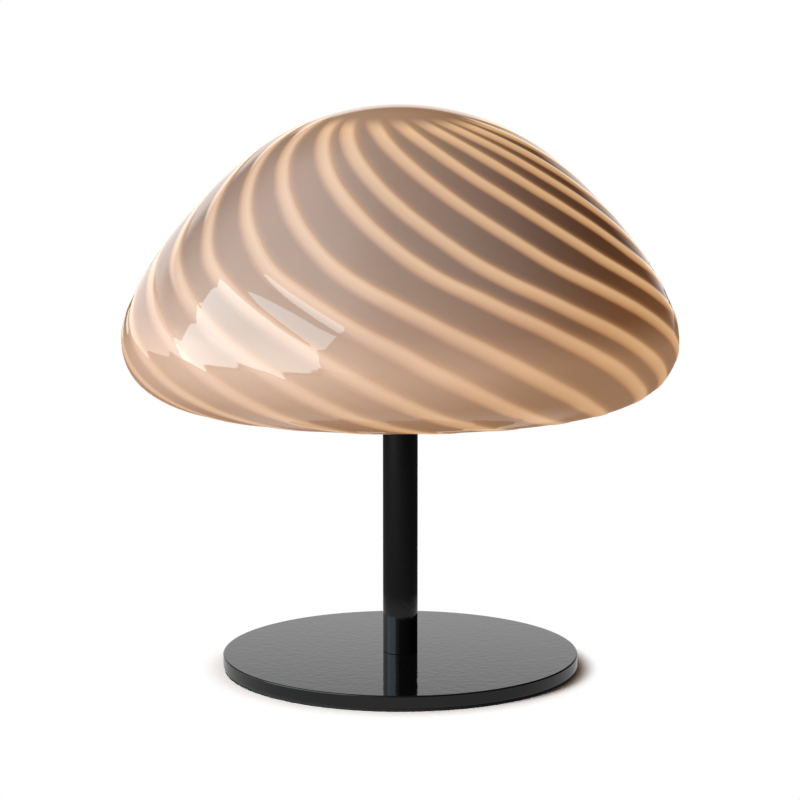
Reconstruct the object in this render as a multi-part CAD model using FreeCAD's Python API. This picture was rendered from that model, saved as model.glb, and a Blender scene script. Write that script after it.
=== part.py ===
# Mushroom table lamp: a blown glass shade rests by its own weight on a ring at the top of a
# lacquered steel stem, and the stem is clamped to a heavy round base plate. The shade lifts
# off, and the bulb then unscrews from its holder.
# All sizes are in millimetres. The origin is at the centre of the underside of the base pad,
# +Z is up, and the cord leaves the base towards +Y, the back of the lamp.
import FreeCAD, Part
import math
import os

V = FreeCAD.Vector
AXIS_Z = V(0, 0, 1)

# ---- Base: a turned steel plate on a soft pad, screwed to the stem's foot from below ----
PLATE_RADIUS = 112.5
PLATE_THICKNESS = 8.0
PLATE_EDGE_ROUND = 0.8
PAD_THICKNESS = 2.0
PAD_INSET = 0.8
WIRE_HOLE_RADIUS = 3.5
BASE_SCREW_RADIUS = 1.5
BASE_SCREW_HEAD_RADIUS = 2.75
BASE_SCREW_CIRCLE = 7.2
BASE_SCREW_GRIP = 8.0
BASE_SCREW_COUNT = 3
BASE_SCREW_FIRST_ANGLE = 30.0

# ---- Cord inlet: a bush in the channel at the back of the plate ----
CORD_BORE_RADIUS = 2.6
BUSH_WALL = 0.65
BUSH_LENGTH = 14.0
BUSH_COLLAR_WIDTH = 1.2
BUSH_COLLAR_LENGTH = 0.8
BUSH_FIT = 0.05

# ---- Stem: a steel tube with a plug brazed into each end ----
STEM_RADIUS = 11.0
STEM_WALL = 1.5
STEM_LENGTH = 164.0
STEM_END_CHAMFER = 0.3
PLUG_LENGTH = 15.0
PLUG_FIT = 0.03

# ---- Hollow nipple with a 10 mm lamp thread, its nut and the earth terminal ----
THREAD_RADIUS = 5.0
THREAD_FIT = 0.05
NIPPLE_BORE_RADIUS = 3.6
NIPPLE_GRIP = 12.0
HOLE_FIT = 0.2
NUT_ACROSS_FLATS = 14.0
NUT_THICKNESS = 3.4
NUT_CHAMFER = 0.6
TAG_RADIUS = 8.5
TAG_THICKNESS = 0.8
TAG_TAIL_LENGTH = 22.0
TAG_TAIL_WIDTH = 5.0
TAG_CRIMP_LENGTH = 7.0
TAG_CRIMP_RADIUS = 1.9

# ---- Carrier: a pressed ring on four arms, with an upstand that centres the glass ----
CARRIER_THICKNESS = 2.0
CARRIER_UNDER_GLASS = 14.0
HUB_RADIUS = 16.0
ARM_WIDTH = 9.0
ARM_COUNT = 4
ARM_FIRST_ANGLE = 45.0
LIP_WALL = 2.0
LIP_HEIGHT = 8.0
LIP_TO_GLASS = 2.5
GASKET_THICKNESS = 1.5
GASKET_TO_LIP = 1.5
GASKET_TO_EDGE = 1.0

# ---- Shade: one piece of blown glass, open below ----
# Its outline turns through a half circle in six stretches, crown to belly. Each has the radius
# of its outer face and the angle that it turns through; the belly takes what is left of 180.
CROWN_RADIUS = 152.7
CROWN_TURN = 39.5
FLANK_RADIUS = 305.0
FLANK_TURN = 13.45
HIP_RADIUS = 192.7
HIP_TURN = 12.4
SHOULDER_RADIUS = 69.4
SHOULDER_TURN = 14.95
GIRTH_RADIUS = 35.5
GIRTH_TURN = 62.25
BELLY_RADIUS = 52.9
BELLY_BELOW_SEAT = 5.6
GLASS_WALL = 4.0
OPENING_RADIUS = 58.0
SEAT_WIDTH = 16.0
RIM_ROUND = 1.2

# ---- Canes: pale rods fused in the skin of the shade, which was twisted as it was blown ----
# Distances run down the outline of the glass from its crown. Turns are in degrees about the axis,
# from the front of the lamp towards its right; the canes that the list leaves out lie evenly.
CANE_WIDTH = 11.5
CANE_RISE = 0.4
CANE_EDGE = 0.15
CANE_TO_GLASS = 0.08
CANE_COUNT = 22
CANE_TURNS_AT_FRONT = [-122, -104, -86, -69, -51, -34, -14, 0, 18, 35, 51, 65, 78, 93]
CANE_START = 42.0
CANE_HEAD_LENGTH = 26.0
CANE_HEAD_SHARE = 0.2
CANE_TO_SEAT = 6.0
CANE_SECTIONS = 49
TWIST_AT_CROWN = -56.0
TWIST_PER_MM = 0.426
EXTRA_TWIST_PER_MM = 0.2
EXTRA_TWIST_START = 178.0
EXTRA_TWIST_ONSET = 4.0

# ---- Bulb holder for a 27 mm screw cap, in three mouldings ----
SHELL_RADIUS = 13.4
SHELL_WALL = 0.4
SHELL_LENGTH = 22.4
INSERT_FLOOR = 11.0
INSERT_FLANGE_TO_FLOOR = 3.0
INSERT_WALL = 3.5
INSERT_FIT = 0.1
INSERT_ABOVE_SHELL = 2.0
INSERT_STEP = 1.6
HOLDER_CAP_HEIGHT = 23.8
HOLDER_CAP_RADIUS = 18.6
HOLDER_CAP_WALL = 2.2
HOLDER_NECK_RADIUS = 9.5
HOLDER_NECK_HEIGHT = 6.0
HOLDER_FLARE_HEIGHT = 7.0
HOLDER_THREAD_HEIGHT = 6.0
SKIRT_WALL = 2.4
SKIRT_FIT = 0.2
SKIRT_LIP = 3.6
SKIRT_MOUTH_RADIUS = 14.6
SKIRT_EDGE_ROUND = 1.0
HOLDER_BUSH_RADIUS = 7.5
HOLDER_BUSH_LENGTH = 10.0
GRUB_RADIUS = 1.5
GRUB_HEIGHT = 3.8
CONTACT_THICKNESS = 0.6
CONTACT_WIDTH = 5.0
CONTACT_RISE = 4.3
CONTACT_TO_EYELET = 0.1
TERMINAL_OFFSET = 9.5
TERMINAL_SCREW_RADIUS = 1.5
TERMINAL_HEAD_RADIUS = 2.8
TERMINAL_HEAD_HEIGHT = 2.0

# ---- Bulb: a pear-shaped lamp with a 27 mm screw cap ----
BULB_LENGTH = 104.0
BULB_RADIUS = 30.0
BULB_CAP_RADIUS = 13.1
BULB_CAP_WALL = 0.3
BULB_CAP_LENGTH = 26.0
EYELET_RADIUS = 4.8
EYELET_HEIGHT = 1.2
INSULATOR_HEIGHT = 3.0
GLOBE_WALL = 1.2
GLOBE_OVERLAP = 8.0
HOUSING_WALL = 1.6
HOUSING_NECK_RADIUS = 14.0
BOARD_THICKNESS = 1.6
LED_COUNT = 12
LED_SIZE = 3.0
LED_HEIGHT = 0.8

# ---- Levels that the stack of pieces gives ----
PLATE_BOTTOM = PAD_THICKNESS
PLATE_TOP = PLATE_BOTTOM + PLATE_THICKNESS
STEM_TOP = PLATE_TOP + STEM_LENGTH
STEM_BORE = STEM_RADIUS - STEM_WALL
CARRIER_TOP = STEM_TOP + CARRIER_THICKNESS
SEAT = CARRIER_TOP + GASKET_THICKNESS
NUT_BOTTOM = CARRIER_TOP + TAG_THICKNESS
HOLDER_BOTTOM = NUT_BOTTOM + NUT_THICKNESS
HOLDER_CAP_TOP = HOLDER_BOTTOM + HOLDER_CAP_HEIGHT
INSERT_TOP_FACE = HOLDER_CAP_TOP + INSERT_FLANGE_TO_FLOOR
INSERT_BOTTOM = INSERT_TOP_FACE - INSERT_FLOOR
SHELL_BOTTOM = INSERT_TOP_FACE + CONTACT_THICKNESS
SHELL_TOP = SHELL_BOTTOM + SHELL_LENGTH
INSERT_TOP = SHELL_TOP + INSERT_ABOVE_SHELL
INSERT_BORE = SHELL_RADIUS + SHELL_WALL + INSERT_FIT
INSERT_RADIUS = INSERT_BORE + INSERT_WALL
HOLDER_TOP = INSERT_TOP + SKIRT_LIP
CONTACT_TOP = INSERT_TOP_FACE + CONTACT_THICKNESS + CONTACT_RISE
BULB_BOTTOM = CONTACT_TOP + CONTACT_TO_EYELET
BULB_CAP_TOP = BULB_BOTTOM + BULB_CAP_LENGTH
BULB_TOP = BULB_BOTTOM + BULB_LENGTH
GLOBE_CENTRE = BULB_TOP - BULB_RADIUS
CARRIER_RADIUS = OPENING_RADIUS + CARRIER_UNDER_GLASS
LIP_OUTER = OPENING_RADIUS - LIP_TO_GLASS
LIP_INNER = LIP_OUTER - LIP_WALL


def cylinder(radius, low, high):
    return Part.makeCylinder(radius, high - low, V(0, 0, low))


def ring(outer, inner, low, high):
    return cylinder(outer, low, high).cut(cylinder(inner, low, high))


def turned(outline):
    """A solid turned about the lamp's axis from a closed outline of (radius, height) points."""
    points = [V(radius, 0, height) for radius, height in outline]
    wire = Part.makePolygon(points + points[:1])
    return Part.Face(wire).revolve(V(0, 0, 0), AXIS_Z, 360)


def around(shape, count, first_angle=0.0):
    """Copies of a shape at equal steps about the lamp's axis."""
    copies = []
    for index in range(count):
        copy = shape.copy()
        copy.rotate(V(0, 0, 0), AXIS_Z, first_angle + index * 360.0 / count)
        copies.append(copy)
    return copies


def circles_at(shape, radius, heights=None):
    """The round edges of a shape that have this radius and, where given, one of these heights."""
    found = []
    for edge in shape.Edges:
        if edge.Degenerated or not isinstance(edge.Curve, Part.Circle):
            continue
        if abs(edge.Curve.Radius - radius) > 1e-4:
            continue
        if heights is None or any(abs(edge.Curve.Center.z - height) < 1e-4 for height in heights):
            found.append(edge)
    return found


def base_pad():
    """Soft disc glued under the plate, which closes the cord's channel and hides the screws."""
    return cylinder(PLATE_RADIUS - PAD_INSET, 0, PAD_THICKNESS)


def channel(radius, start, end):
    """A bar with a half-round top, lying along +Y on the underside of the plate."""
    middle = PLATE_BOTTOM + radius
    top = Part.makeCylinder(radius, end - start, V(0, start, middle), V(0, 1, 0))
    legs = Part.makeBox(2 * radius, end - start, radius, V(-radius, start, PLATE_BOTTOM))
    return top.fuse(legs).removeSplitter()


def base_screws(gap=0.0):
    """Countersunk screws that come up through the plate into the stem's foot; a gap makes cutters."""
    low = PLATE_BOTTOM
    head = BASE_SCREW_HEAD_RADIUS + gap
    shank = BASE_SCREW_RADIUS + gap
    top = PLATE_TOP + BASE_SCREW_GRIP
    screw = turned([(0, low), (head, low), (shank, low + head - shank), (shank, top), (0, top)])
    screw.translate(V(BASE_SCREW_CIRCLE, 0, 0))
    return Part.makeCompound(around(screw, BASE_SCREW_COUNT, BASE_SCREW_FIRST_ANGLE))


def base_plate():
    """Thick steel disc with the wire's hole at its centre and a channel for the cord underneath."""
    plate = cylinder(PLATE_RADIUS, PLATE_BOTTOM, PLATE_TOP)
    plate = plate.makeFillet(PLATE_EDGE_ROUND, circles_at(plate, PLATE_RADIUS))
    wire_hole = cylinder(WIRE_HOLE_RADIUS, PLATE_BOTTOM, PLATE_TOP)
    way_out = channel(CORD_BORE_RADIUS + BUSH_WALL + BUSH_FIT, 0, PLATE_RADIUS)
    return plate.cut([wire_hole, way_out, base_screws(THREAD_FIT)])


def cord_bush():
    """Plastic bush that lines the cord's way out, with a thin collar outside the plate."""
    radius = CORD_BORE_RADIUS + BUSH_WALL
    body = channel(radius, PLATE_RADIUS - BUSH_LENGTH, PLATE_RADIUS + BUSH_COLLAR_LENGTH)
    collar_disc = Part.makeCylinder(
        radius + BUSH_COLLAR_WIDTH,
        BUSH_COLLAR_LENGTH,
        V(0, PLATE_RADIUS, PLATE_BOTTOM + radius),
        V(0, 1, 0),
    )
    clear_of_pad = Part.makeBox(
        2 * PLATE_RADIUS, 2 * PLATE_RADIUS, PLATE_THICKNESS, V(-PLATE_RADIUS, 0, PLATE_BOTTOM)
    )
    bore = Part.makeCylinder(
        CORD_BORE_RADIUS,
        BUSH_LENGTH + BUSH_COLLAR_LENGTH,
        V(0, PLATE_RADIUS - BUSH_LENGTH, PLATE_BOTTOM + radius),
        V(0, 1, 0),
    )
    return body.fuse(collar_disc.common(clear_of_pad)).cut(bore).removeSplitter()


def carrier_nut():
    """Thin hexagon nut with its corners turned off."""
    corner = NUT_ACROSS_FLATS / math.sqrt(3)
    top = NUT_BOTTOM + NUT_THICKNESS
    turns = [math.radians(60 * k) for k in range(7)]
    corners = [V(corner * math.cos(turn), corner * math.sin(turn), NUT_BOTTOM) for turn in turns]
    prism = Part.Face(Part.makePolygon(corners)).extrude(V(0, 0, NUT_THICKNESS))
    blank = cylinder(corner, NUT_BOTTOM, top)
    blank = blank.makeChamfer(NUT_CHAMFER, circles_at(blank, corner))
    return prism.common(blank).cut(cylinder(THREAD_RADIUS + THREAD_FIT, NUT_BOTTOM, top))


def carrier_nipple():
    """Hollow threaded tube that clamps carrier and bulb holder to the stem; the wires run through."""
    top = HOLDER_BOTTOM + HOLDER_BUSH_LENGTH
    return ring(THREAD_RADIUS, NIPPLE_BORE_RADIUS, STEM_TOP - NIPPLE_GRIP, top)


def stem_foot_plug():
    """Plug brazed into the stem's foot, drilled for the wires and tapped for the base's screws."""
    plug = ring(STEM_BORE - PLUG_FIT, WIRE_HOLE_RADIUS, PLATE_TOP, PLATE_TOP + PLUG_LENGTH)
    return plug.cut(base_screws(THREAD_FIT))


def stem_head_plug():
    """Plug brazed into the stem's head, tapped for the nipple."""
    return ring(STEM_BORE - PLUG_FIT, THREAD_RADIUS + THREAD_FIT, STEM_TOP - PLUG_LENGTH, STEM_TOP)


def stem_tube():
    """Straight lacquered tube with its end edges broken."""
    tube = cylinder(STEM_RADIUS, PLATE_TOP, STEM_TOP)
    tube = tube.makeChamfer(STEM_END_CHAMFER, circles_at(tube, STEM_RADIUS))
    return tube.cut(cylinder(STEM_BORE, PLATE_TOP, STEM_TOP))


def shade_carrier():
    """Pressed ring on four arms: the glass rests on its flange and drops over its upstand."""
    flange = ring(CARRIER_RADIUS, LIP_INNER, STEM_TOP, CARRIER_TOP)
    upstand = ring(LIP_OUTER, LIP_INNER, CARRIER_TOP, CARRIER_TOP + LIP_HEIGHT)
    hub = cylinder(HUB_RADIUS, STEM_TOP, CARRIER_TOP)
    arm_length = (LIP_INNER + LIP_OUTER) / 2
    arm = Part.makeBox(arm_length, ARM_WIDTH, CARRIER_THICKNESS, V(0, -ARM_WIDTH / 2, STEM_TOP))
    carrier = flange.multiFuse([upstand, hub] + around(arm, ARM_COUNT, ARM_FIRST_ANGLE))
    carrier = carrier.cut(cylinder(THREAD_RADIUS + HOLE_FIT, STEM_TOP, CARRIER_TOP)).removeSplitter()
    lip_edges = circles_at(carrier, LIP_OUTER, [CARRIER_TOP + LIP_HEIGHT])
    lip_edges += circles_at(carrier, LIP_INNER, [CARRIER_TOP + LIP_HEIGHT])
    rim_edges = circles_at(carrier, CARRIER_RADIUS)
    return carrier.makeFillet(0.45 * min(LIP_WALL, CARRIER_THICKNESS), lip_edges + rim_edges)


def carrier_gasket():
    """Flat silicone ring between the pressed ring and the glass."""
    return ring(CARRIER_RADIUS - GASKET_TO_EDGE, LIP_OUTER + GASKET_TO_LIP, CARRIER_TOP, SEAT)


def earth_tag():
    """Ring terminal under the upper nut, with an empty crimp at the end of its tail."""
    eye = cylinder(TAG_RADIUS, CARRIER_TOP, NUT_BOTTOM)
    corner = V(0, -TAG_TAIL_WIDTH / 2, CARRIER_TOP)
    tail = Part.makeBox(TAG_TAIL_LENGTH, TAG_TAIL_WIDTH, TAG_THICKNESS, corner)
    start = V(TAG_TAIL_LENGTH - TAG_CRIMP_LENGTH, 0, CARRIER_TOP + TAG_CRIMP_RADIUS)
    barrel = Part.makeCylinder(TAG_CRIMP_RADIUS, TAG_CRIMP_LENGTH, start, V(1, 0, 0))
    inside = Part.makeCylinder(TAG_CRIMP_RADIUS - TAG_THICKNESS, TAG_CRIMP_LENGTH, start, V(1, 0, 0))
    tag = eye.multiFuse([tail, barrel])
    return tag.cut([inside, cylinder(THREAD_RADIUS + HOLE_FIT, CARRIER_TOP, NUT_BOTTOM)])


def heading(angle):
    return V(math.cos(math.radians(angle)), 0, math.sin(math.radians(angle)))


def bends(start, curves, inset=0.0):
    """Arcs laid end to end with no kink, each given as (radius, turn).

    The first arc leaves the start towards +X. A positive turn is clockwise, and the inset
    moves the whole line to its right.
    """
    edges = []
    point = start - V(0, 0, inset)
    angle = 0.0
    for radius, turn in curves:
        side = math.copysign(1, turn)
        reach = radius - side * inset
        centre = point + heading(angle - side * 90) * reach
        middle = centre + heading(angle + side * 90 - turn / 2) * reach
        end = centre + heading(angle + side * 90 - turn) * reach
        edges.append(Part.Arc(point, middle, end).toShape())
        point = end
        angle -= turn
    return edges, point


def glass_curves():
    """Every bend of the glass from crown to seat, and how far the crown is above the seat."""
    dome = [
        (CROWN_RADIUS, CROWN_TURN),
        (FLANK_RADIUS, FLANK_TURN),
        (HIP_RADIUS, HIP_TURN),
        (SHOULDER_RADIUS, SHOULDER_TURN),
        (GIRTH_RADIUS, GIRTH_TURN),
    ]
    turned_so_far = sum(turn for radius, turn in dome)
    dome.append((BELLY_RADIUS, 180 - turned_so_far))
    lowest = bends(V(0, 0, 0), dome)[1]
    across = lowest.x - OPENING_RADIUS - SEAT_WIDTH
    swing = 2 * math.degrees(math.atan2(BELLY_BELOW_SEAT, across))
    sweep = (across**2 + BELLY_BELOW_SEAT**2) / (4 * BELLY_BELOW_SEAT)
    return dome + [(sweep, swing), (sweep, -swing)], -lowest.z - BELLY_BELOW_SEAT


def shade_glass():
    """Blown glass mushroom of even wall, with a ground flat round its opening to rest on."""
    curves, crown_height = glass_curves()
    crown = V(0, 0, SEAT + crown_height)
    outer, outer_end = bends(crown, curves)
    inner, inner_end = bends(crown, curves, GLASS_WALL)
    rim_low = V(OPENING_RADIUS, 0, SEAT)
    rim_high = V(OPENING_RADIUS, 0, SEAT + GLASS_WALL)
    rim = [
        Part.makeLine(outer_end, rim_low),
        Part.makeLine(rim_low, rim_high),
        Part.makeLine(rim_high, inner_end),
        Part.makeLine(crown - V(0, 0, GLASS_WALL), crown),
    ]
    wire = Part.Wire(Part.__sortEdges__(outer + inner + rim))
    glass = Part.Face(wire).revolve(V(0, 0, 0), AXIS_Z, 360)
    return glass.makeFillet(RIM_ROUND, circles_at(glass, OPENING_RADIUS))


def on_glass(distance):
    """The point of the glass's outer outline at a distance from the crown, and its way out."""
    curves, crown_height = glass_curves()
    point = V(0, 0, SEAT + crown_height)
    angle = 0.0
    for radius, turn in curves:
        side = math.copysign(1, turn)
        length = radius * math.radians(abs(turn))
        share = min(distance / length, 1.0)
        centre = point + heading(angle - side * 90) * radius
        angle -= turn * share
        point = centre + heading(angle + side * 90) * radius
        distance -= length * share
    return point, heading(angle + 90)


def twist(distance):
    """How far the glass has twisted about the axis at a distance from the crown."""
    onset = math.exp((distance - EXTRA_TWIST_START) / EXTRA_TWIST_ONSET)
    return TWIST_PER_MM * distance + EXTRA_TWIST_PER_MM * EXTRA_TWIST_ONSET * math.log(1 + onset)


def twist_per_mm(distance):
    """How fast the glass twists at a distance from the crown."""
    onset = math.exp((distance - EXTRA_TWIST_START) / EXTRA_TWIST_ONSET)
    return TWIST_PER_MM + EXTRA_TWIST_PER_MM * onset / (1 + onset)


def cane_section(distance, share):
    """Flat section square to a cane's run: its underside follows the glass, and its face is proud."""
    centre, out = on_glass(distance)
    lean = math.atan(centre.x * math.radians(twist_per_mm(distance)))
    run = V(out.z * math.cos(lean), math.sin(lean), -out.x * math.cos(lean))
    underside = []
    face = []
    for side in (-1, 0, 1):
        across = side * share * CANE_WIDTH / 2
        foot, up = on_glass(distance - across * math.sin(lean))
        turn = across * math.cos(lean) / foot.x
        rise = CANE_EDGE if side else CANE_RISE
        for points, height in ((underside, CANE_TO_GLASS), (face, CANE_TO_GLASS + rise)):
            place = foot + up * height
            place = V(place.x * math.cos(turn), place.x * math.sin(turn), place.z)
            points.append(place - run * (place - centre).dot(run))
    edges = [Part.makeLine(underside[-1], face[-1]), Part.makeLine(face[0], underside[0])]
    for points in (underside, face):
        curve = Part.BSplineCurve()
        curve.interpolate(points)
        edges.append(curve.toShape())
    section = Part.Wire(Part.__sortEdges__(edges))
    section.rotate(V(0, 0, 0), AXIS_Z, TWIST_AT_CROWN + twist(distance) - 90)
    return section


def cane_turns():
    """Turns of all the canes, those at the front as they were laid and the rest at even steps."""
    turns = CANE_TURNS_AT_FRONT[:CANE_COUNT]
    left = CANE_COUNT - len(turns)
    step = (360.0 + turns[0] - turns[-1]) / (left + 1)
    return turns + [turns[-1] + step * (index + 1) for index in range(left)]


def swirl_canes():
    """Canes lofted along the twist of the glass, from thin heads near the crown to the seat."""
    curves = glass_curves()[0]
    end = sum(radius * math.radians(abs(turn)) for radius, turn in curves) - CANE_TO_SEAT
    sections = []
    for index in range(CANE_SECTIONS):
        along = (1 - math.cos(math.pi * index / (CANE_SECTIONS - 1))) / 2
        distance = CANE_START + (end - CANE_START) * along
        fullness = min((distance - CANE_START) / CANE_HEAD_LENGTH, 1.0)
        share = CANE_HEAD_SHARE + (1 - CANE_HEAD_SHARE) * fullness**2 * (3 - 2 * fullness)
        sections.append(cane_section(distance, share))
    cane = Part.makeLoft(sections, True)
    return Part.makeCompound([around(cane, 1, turn)[0] for turn in cane_turns()])


def holder_bush():
    """Threaded metal bush in the foot of the holder's cap."""
    top = HOLDER_BOTTOM + HOLDER_BUSH_LENGTH
    bush = ring(HOLDER_BUSH_RADIUS, THREAD_RADIUS + THREAD_FIT, HOLDER_BOTTOM, top)
    return bush.cut(grub_screw(THREAD_FIT))


def grub_screw(gap=0.0):
    """Set screw through the holder's neck that locks it on the nipple; a gap makes it a hole cutter."""
    start = V(THREAD_RADIUS + THREAD_FIT - gap, 0, HOLDER_BOTTOM + GRUB_HEIGHT)
    length = HOLDER_NECK_RADIUS - THREAD_RADIUS + gap
    return Part.makeCylinder(GRUB_RADIUS + gap, length, start, V(1, 0, 0))


def holder_cap():
    """Lower moulding of the bulb holder: a narrow neck that flares into a cup."""
    neck_top = HOLDER_BOTTOM + HOLDER_NECK_HEIGHT
    flare_top = neck_top + HOLDER_FLARE_HEIGHT
    thread_bottom = HOLDER_CAP_TOP - HOLDER_THREAD_HEIGHT
    thread_radius = INSERT_RADIUS
    cup_bore = HOLDER_CAP_RADIUS - HOLDER_CAP_WALL
    floor = HOLDER_BOTTOM + HOLDER_BUSH_LENGTH - HOLDER_CAP_WALL
    outline = [
        (HOLDER_BUSH_RADIUS + THREAD_FIT, HOLDER_BOTTOM),
        (HOLDER_NECK_RADIUS, HOLDER_BOTTOM),
        (HOLDER_NECK_RADIUS, neck_top),
        (HOLDER_CAP_RADIUS, flare_top),
        (HOLDER_CAP_RADIUS, thread_bottom),
        (thread_radius, thread_bottom),
        (thread_radius, HOLDER_CAP_TOP),
        (cup_bore, HOLDER_CAP_TOP),
        (cup_bore, flare_top + HOLDER_CAP_WALL),
        (HOLDER_NECK_RADIUS, floor),
        (HOLDER_BUSH_RADIUS + THREAD_FIT, floor),
    ]
    return turned(outline).cut(grub_screw(THREAD_FIT))


def holder_insert():
    """White core of the holder: its floor carries the contacts and its wall the threaded shell."""
    puck_radius = HOLDER_CAP_RADIUS - HOLDER_CAP_WALL - INSERT_FIT
    outline = [
        (0, INSERT_BOTTOM),
        (puck_radius, INSERT_BOTTOM),
        (puck_radius, HOLDER_CAP_TOP),
        (INSERT_RADIUS, HOLDER_CAP_TOP),
        (INSERT_RADIUS, INSERT_TOP),
        (INSERT_BORE, INSERT_TOP),
        (INSERT_BORE, INSERT_TOP_FACE),
        (0, INSERT_TOP_FACE),
    ]
    hole = cylinder(TERMINAL_SCREW_RADIUS + THREAD_FIT, INSERT_BOTTOM, INSERT_TOP_FACE)
    hole.translate(V(TERMINAL_OFFSET, 0, 0))
    return turned(outline).cut(around(hole, 2))


def holder_skirt():
    """Upper moulding that screws over the cap and holds the core down under its lip."""
    low = HOLDER_CAP_TOP - HOLDER_THREAD_HEIGHT
    bore = INSERT_RADIUS + SKIRT_FIT
    outer = bore + SKIRT_WALL
    skirt = cylinder(outer, low, HOLDER_TOP)
    skirt = skirt.makeFillet(SKIRT_EDGE_ROUND, circles_at(skirt, outer, [HOLDER_TOP]))
    skirt = skirt.cut(cylinder(bore, low, INSERT_TOP))
    return skirt.cut(cylinder(SKIRT_MOUTH_RADIUS, INSERT_TOP, HOLDER_TOP))


def screw_shell():
    return ring(SHELL_RADIUS + SHELL_WALL, SHELL_RADIUS, SHELL_BOTTOM, SHELL_TOP)


def terminal_hole():
    hole = cylinder(TERMINAL_SCREW_RADIUS + THREAD_FIT, INSERT_TOP_FACE, SHELL_BOTTOM)
    hole.translate(V(TERMINAL_OFFSET, 0, 0))
    return hole


def centre_contact():
    """Bent spring strip: its foot is screwed to the core and its tip presses on the bulb's eyelet."""
    foot_end = SHELL_RADIUS - 2 * CONTACT_THICKNESS
    bend = TERMINAL_OFFSET - TERMINAL_HEAD_RADIUS
    tip = EYELET_RADIUS / 2
    low = INSERT_TOP_FACE
    side = [
        (foot_end, low),
        (foot_end, low + CONTACT_THICKNESS),
        (bend, low + CONTACT_THICKNESS),
        (tip, CONTACT_TOP),
        (-tip, CONTACT_TOP),
        (-tip, CONTACT_TOP - CONTACT_THICKNESS),
        (tip - CONTACT_THICKNESS / 2, CONTACT_TOP - CONTACT_THICKNESS),
        (bend - CONTACT_THICKNESS / 2, low),
    ]
    points = [V(x, -CONTACT_WIDTH / 2, z) for x, z in side]
    strip = Part.Face(Part.makePolygon(points + points[:1])).extrude(V(0, CONTACT_WIDTH, 0))
    return strip.cut(terminal_hole())


def shell_contact():
    """Flat strap from the second terminal to the foot of the threaded shell."""
    reach = SHELL_RADIUS + SHELL_WALL
    length = reach - TERMINAL_OFFSET + TERMINAL_HEAD_RADIUS
    strap = Part.makeBox(
        length,
        CONTACT_WIDTH,
        CONTACT_THICKNESS,
        V(TERMINAL_OFFSET - TERMINAL_HEAD_RADIUS, -CONTACT_WIDTH / 2, INSERT_TOP_FACE),
    )
    strap = strap.common(cylinder(reach, INSERT_TOP_FACE, SHELL_BOTTOM)).cut(terminal_hole())
    return around(strap, 1, 180.0)[0]


def terminal_screws():
    """Two screws that come up through the core into the contacts."""
    shank = cylinder(TERMINAL_SCREW_RADIUS, INSERT_BOTTOM, SHELL_BOTTOM)
    head = cylinder(TERMINAL_HEAD_RADIUS, INSERT_BOTTOM - TERMINAL_HEAD_HEIGHT, INSERT_BOTTOM)
    screw = shank.fuse(head)
    screw.translate(V(TERMINAL_OFFSET, 0, 0))
    return Part.makeCompound(around(screw, 2))


def bulb_eyelet():
    return cylinder(EYELET_RADIUS, BULB_BOTTOM, BULB_BOTTOM + EYELET_HEIGHT)


def bulb_insulator():
    """Dark glass cone between the eyelet and the bulb's threaded cap."""
    low = BULB_BOTTOM + EYELET_HEIGHT
    outline = [
        (0, low),
        (EYELET_RADIUS, low),
        (BULB_CAP_RADIUS - BULB_CAP_WALL, low + INSULATOR_HEIGHT),
        (0, low + INSULATOR_HEIGHT),
    ]
    return turned(outline)


def bulb_cap():
    """Thin metal screw cap, crimped on the housing's neck."""
    low = BULB_BOTTOM + EYELET_HEIGHT + INSULATOR_HEIGHT
    return ring(BULB_CAP_RADIUS, BULB_CAP_RADIUS - BULB_CAP_WALL, low, BULB_CAP_TOP)


def bulb_housing():
    """White cup that rises from the cap and widens to the globe, closed by a floor for the board."""
    low = BULB_BOTTOM + EYELET_HEIGHT + INSULATOR_HEIGHT
    top = GLOBE_CENTRE - GLOBE_OVERLAP
    neck = BULB_CAP_RADIUS - BULB_CAP_WALL
    rim = BULB_RADIUS - GLOBE_WALL
    flare = Part.BSplineCurve()
    flare.interpolate(
        Points=[V(HOUSING_NECK_RADIUS, 0, BULB_CAP_TOP), V(rim, 0, top)],
        InitialTangent=V(0.25, 0, 1),
        FinalTangent=V(0.2, 0, 1),
    )
    corners = [
        V(rim, 0, top),
        V(0, 0, top),
        V(0, 0, low),
        V(neck, 0, low),
        V(neck, 0, BULB_CAP_TOP),
        V(HOUSING_NECK_RADIUS, 0, BULB_CAP_TOP),
    ]
    edges = [flare.toShape()] + [Part.makeLine(a, b) for a, b in zip(corners, corners[1:])]
    return Part.Face(Part.Wire(edges)).revolve(V(0, 0, 0), AXIS_Z, 360)


def bulb_board():
    """Round circuit board with a ring of light-emitting chips."""
    low = GLOBE_CENTRE - GLOBE_OVERLAP
    radius = BULB_RADIUS - 2 * GLOBE_WALL - HOUSING_WALL
    board = cylinder(radius, low, low + BOARD_THICKNESS)
    corner = V(0.7 * radius - LED_SIZE / 2, -LED_SIZE / 2, low + BOARD_THICKNESS)
    chip = Part.makeBox(LED_SIZE, LED_SIZE, LED_HEIGHT, corner)
    return board.multiFuse(around(chip, LED_COUNT))


def bulb_globe():
    """Opal dome: a thin round cover that runs down to the housing's rim."""
    low = GLOBE_CENTRE - GLOBE_OVERLAP
    outer = Part.makeSphere(BULB_RADIUS, V(0, 0, GLOBE_CENTRE))
    inner = Part.makeSphere(BULB_RADIUS - GLOBE_WALL, V(0, 0, GLOBE_CENTRE))
    above = Part.makeBox(
        2 * BULB_RADIUS, 2 * BULB_RADIUS, 2 * BULB_RADIUS, V(-BULB_RADIUS, -BULB_RADIUS, low)
    )
    return outer.cut(inner).common(above)


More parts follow.
